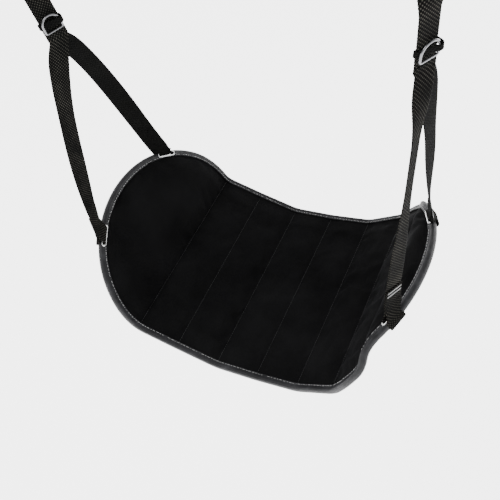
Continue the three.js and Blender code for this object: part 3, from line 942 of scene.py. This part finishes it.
class Leg:
    """The route of a bridle leg, from its slot's fold up to the main strap."""

    def __init__(self, slot):
        self.slot = slot
        side, end = slot.side, slot.end
        self.top = Vector((junction_x(side), 0, PIVOT_Z - PIVOT_RELIEF))
        self.top -= WEB_FRONT * (0 if end < 0 else LEG_LAYER)
        self.shape = shape = LEG_SHAPES[slot.name]
        self.lead = (self.top - slot.origin).normalized() + Vector((*shape["sway"], 0))
        self.lead.normalize()
        self.inward = self.lead.cross(slot.along).normalized()
        if self.inward.dot(slot.out) > 0:
            self.inward.negate()
        self.merge = slot.at(-2, 0) + self.lead * MERGE
        self.span = (self.top - self.merge).length
        climb = (self.top - self.merge).normalized() + Vector((0, 0, 0.6))
        climb += WEB_ACROSS * shape["lean"][0] + WEB_FRONT * shape["lean"][1]
        climb.normalize()
        self.knots = [self.merge, self.merge + self.lead * shape["leaves"],
                      self.top - climb * shape["arrives"], self.top]
        self.outer = -math.copysign(1, self.lead.cross(slot.along).dot(self.inward))
        samples = [self.bezier(k / 200) for k in range(201)]
        self.table = even(samples, 121)

    def bezier(self, t):
        a, b, c, d = self.knots
        return a * (1 - t) ** 3 + b * 3 * t * (1 - t) ** 2 + c * 3 * t * t * (1 - t) + d * t ** 3

    def station(self, t, lift=0.0):
        index = min(max(t, 0), 1) * 120
        i = min(int(index), 119)
        at = self.table[i].lerp(self.table[i + 1], index - i)
        along = (self.table[min(i + 2, 120)] - self.table[max(i - 1, 0)]).normalized()
        turn = radians(self.shape["turn"])
        across = self.slot.along.lerp(Vector((cos(turn), sin(turn), 0)),
                                      smoothstep(t, *self.shape["turned"]))
        across = square_to(across.lerp(WEB_ACROSS, smoothstep(t, self.shape["last"], 1)), along)
        across = across.lerp(WEB_ACROSS, smoothstep(t, 0.82, 1)).normalized()
        face = along.cross(across).normalized() * self.outer
        return at + face * lift, across, face, along

    def strip_stations(self):
        """The whole leg: down from the strap, through its slot, and the end folded back up."""
        slot = self.slot
        rise = (Vector((slot.side * HANGER_X, 0, 0)) - Vector((junction_x(slot.side), 0, PIVOT_Z)))
        rise.normalize()
        out = []
        reach = 6 if slot.end < 0 else 22
        for k in range(8):
            far = reach * (1 - k / 8)
            ease = smoothstep(far, 0, 8) * (0.6 if slot.end > 0 else 0)
            out.append((self.top + rise * far + WEB_FRONT * ease, WEB_ACROSS.copy()))
        for k in range(61):
            t = 1 - k / 60 * 0.985
            shift = 0.85 * (1 - smoothstep(t * self.span, TAIL - 4, TAIL + 14))
            at, across, face, _ = self.station(t, -shift)
            out.append((at, across))
        fold = [self.merge - self.lead * 5 + self.inward * 1.4]
        fold += [slot.at(u, h) for u, h in ((-5, 8), (-5, 4), (-5, -3), (-4.6, -5.8), (-2, -7.4),
                                            (0.8, -6.2), (1.7, -2), (1.9, 4))]
        fold += [self.merge - self.lead * 5 - self.inward * 1.4]
        fold = [out[-1][0]] + fold + [self.station(0.02, 0.85)[0]]
        route = spline(fold, 40)
        for k in range(1, 39):
            # square to the webbing at its ends, but square to the slot in it
            run = (route[k + 1] - route[k - 1]).normalized()
            away = smoothstep(abs(k / 39 - 0.5), 0.27, 0.5)
            out.append((route[k], slot.along.lerp(square_to(slot.along, run), away)))
        tail = TAIL / self.span
        for k in range(10):
            t = 0.02 + (tail - 0.02) * k / 9
            shift = 0.9 * (1 - smoothstep(t * self.span, TAIL - 4, TAIL + 14))
            at, across, face, _ = self.station(t, 1.75 - shift)
            out.append((at, across))
        return out


LEGS = {name: Leg(slot) for name, slot in SLOTS.items()}
for name, leg in LEGS.items():
    coarse = "front" in name
    strap = add_webbing(f"{name}_leg_webbing", leg.strip_stations(), COARSE if coarse else RIBBED,
                        coarse)
    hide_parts(f"{name}_leg")
    x = junction_x(leg.slot.side) * MM
    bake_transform(strap)


def bartack_places(leg):
    """Two close rows of stitches across the folded end."""
    for rise in (TAIL - 9, TAIL - 3.5):
        at, across, face, along = leg.station(rise / leg.span, 0)
        lift = 1.75 - 0.9 * (1 - smoothstep(rise, TAIL - 4, TAIL + 14)) + 0.85
        for k in range(13):
            u = (k - 6) * 1.65
            for slip in (-0.5, 0.5):
                yield at + across * (u + slip * 0.6) + along * slip + face * lift, across, face


for name, leg in LEGS.items():
    tack = stitch_row(f"{name}_tack_stitches", bartack_places(leg), 1.9, 0.36, PALE_THREAD_AND_HIGHLIGHT)
    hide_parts(f"{name}_bartack")
    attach(tack, "seat")


def strap_stations(side):
    """Up from the legs, twisting to face the front, round the hanger's bar and back down."""
    high = Vector((side * HANGER_X, 0, EYE_TOP_Z))
    foot = Vector((junction_x(side), 0, PIVOT_Z + PIVOT_RELIEF))
    rise = (high - foot).normalized()
    lean = rise.x / rise.z
    out = []
    for k in range(50):
        t = k / 49 * 0.9 - 0.045
        at = foot.lerp(high, t)
        turn = radians(WEB_TURN) * (1 - smoothstep(t, 0.42, 0.8))
        across = square_to(Vector((cos(turn), sin(turn), 0)), rise)
        across = across.lerp(Vector((1, 0, 0)), smoothstep(t, 0.7, 0.85)).normalized()
        at = at + Vector((0, -0.85 * smoothstep(t, 0.72, 0.84), 0))
        out.append((at, across))
    eye = [(-1.4, -16), (-4.1, -5), (-4.3, 0), (-3, 3.1), (0, 4.3), (3, 3.1), (4.3, 0),
           (4.1, -5), (1.4, -16), (0.9, -22), (0.9, -30)]
    points = [out[-1][0]] + [Vector((side * HANGER_X + z * lean, y, z)) for y, z in eye]
    for at in spline(points, 70)[1:]:
        out.append((at, Vector((1, 0, 0))))
    return out, rise


for side, word in ((-1, "left"), (1, "right")):
    stations, rise = strap_stations(side)
    strap = add_webbing(f"{word}_strap_webbing", stations, COARSE, True, thick=1.66)
    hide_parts(f"{word}_main_strap")
    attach(strap, "straps")

    def box_stitches():
        """A box with a cross in it, sewn below the eye."""
        centre = Vector((side * HANGER_X, 0, EYE_TOP_Z)) - rise * BOX_STITCH_DROP
        corners = [(-8.5, -5), (8.5, -5), (8.5, 5), (-8.5, 5), (-8.5, -5), (8.5, 5)]
        runs = list(zip(corners, corners[1:])) + [((8.5, -5), (-8.5, 5))]
        for (ua, va), (ub, vb) in runs:
            count = int(math.hypot(ub - ua, vb - va) / 2.2)
            heading = Vector((ub - ua, 0, vb - va)).normalized()
            for k in range(count):
                part = (k + 0.5) / count
                u, v = ua + (ub - ua) * part, va + (vb - va) * part
                for face in (-1, 1):
                    yield (centre + Vector((u, 0, 0)) + rise * v + Vector((0, 1.95 * face, 0)),
                           heading, Vector((0, face, 0)))

    row = stitch_row(f"{word}_eye_stitches", box_stitches(), 1.9, 0.36, THREAD)
    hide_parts(f"{word}_eye_stitching")
    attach(row, "straps")

# ---- rings ----------------------------------------------------------------------------------


def d_outline(half, height, corner, count):
    """A D in its own plane: a straight bar at v = 0, sides, and a half-round top."""
    rise = height - half
    points = [Vector((0, 0, 0)), Vector((half - corner, 0, 0))]
    inset = half - corner
    for k in range(1, 7):
        angle = radians(-90 + 15 * k)
        points.append(Vector((inset + corner * cos(angle), corner + corner * sin(angle), 0)))
    for k in range(33):
        angle = pi * k / 32
        points.append(Vector((half * cos(angle), rise + half * sin(angle), 0)))
    for k in range(7):
        angle = radians(180 + 15 * k)
        points.append(Vector((-inset + corner * cos(angle), corner + corner * sin(angle), 0)))
    points.append(Vector((0, 0, 0)))
    return even(points, count + 1)[:-1]


def ring_frame(side):
    low = Vector((junction_x(side), 0, PIVOT_Z))
    rise = (Vector((side * HANGER_X, 0, 0)) - low).normalized()
    origin = low + rise * ((RING_BAR_Z - PIVOT_Z) / rise.z)
    across = square_to(WEB_ACROSS, rise)
    return origin, rise, across, across.cross(rise)


def ring_wire(part):
    """The wire thins where its two ends butt together in the bar."""
    return RING_WIRE * (1 - 0.28 * math.exp(-((part - 0.035) / 0.006) ** 2))


def keeper_stations(side):
    origin, rise, across, front = ring_frame(side)
    half = WEBBING / 2 + 1
    route = [(-half, 0.2), (-half + 1, 1.55), (-8.6, 1.7), (-4.5, 3.0), (4.5, 6.0), (8.5, 7.8),
             (11.4, 7.8), (13.1, 6.4), (half + 0.5, 3.6), (half + 0.5, 0.2), (half - 0.6, -1.7),
             (0, -1.9), (-half + 0.6, -1.7)]
    points = [origin + rise * 9.5 + across * u + front * n for u, n in route]
    return [(at, rise.copy()) for at in spline(points, 120, closed=True)]


for side, word in ((-1, "left"), (1, "right")):
    origin, rise, across, front = ring_frame(side)
    lean = radians(RING_LEAN)
    climb = rise * cos(lean) + front * sin(lean)
    points = [origin + front * RING_STANDOFF + across * p.x + climb * p.y
              for p in d_outline(RING_HALF, RING_HEIGHT, RING_CORNER, 120)]
    ring = tube(f"{word}_wire_d_ring", points, ring_wire, CHROME, closed=True, sides=14)
    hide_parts(f"{word}_d_ring")
    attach(ring, f"{word}_ring")

    keeper = add_webbing(f"{word}_keeper_webbing", keeper_stations(side), RIBBED, False, width=7,
                         thick=1.0, step=0.6, closed=True, face_points=9)
    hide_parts(f"{word}_ring_keeper")
    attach(keeper, "straps")

    outline = d_outline(HANGER_RING_HALF, HANGER_RING_HEIGHT, HANGER_RING_CORNER, 140)
    points = [Vector((side * HANGER_X + p.x, 0, p.y)) for p in outline]
    bead = 0.5 + 0.12 * side
    hanger = tube(f"{word}_welded_hanger", points,
                  lambda part: HANGER_WIRE * (1 + 0.07 * math.exp(-((part - bead) / 0.008) ** 2)),
                  CHROME, closed=True, sides=16)
    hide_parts(f"{word}_hanger_ring")
    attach(hanger, "hangers")
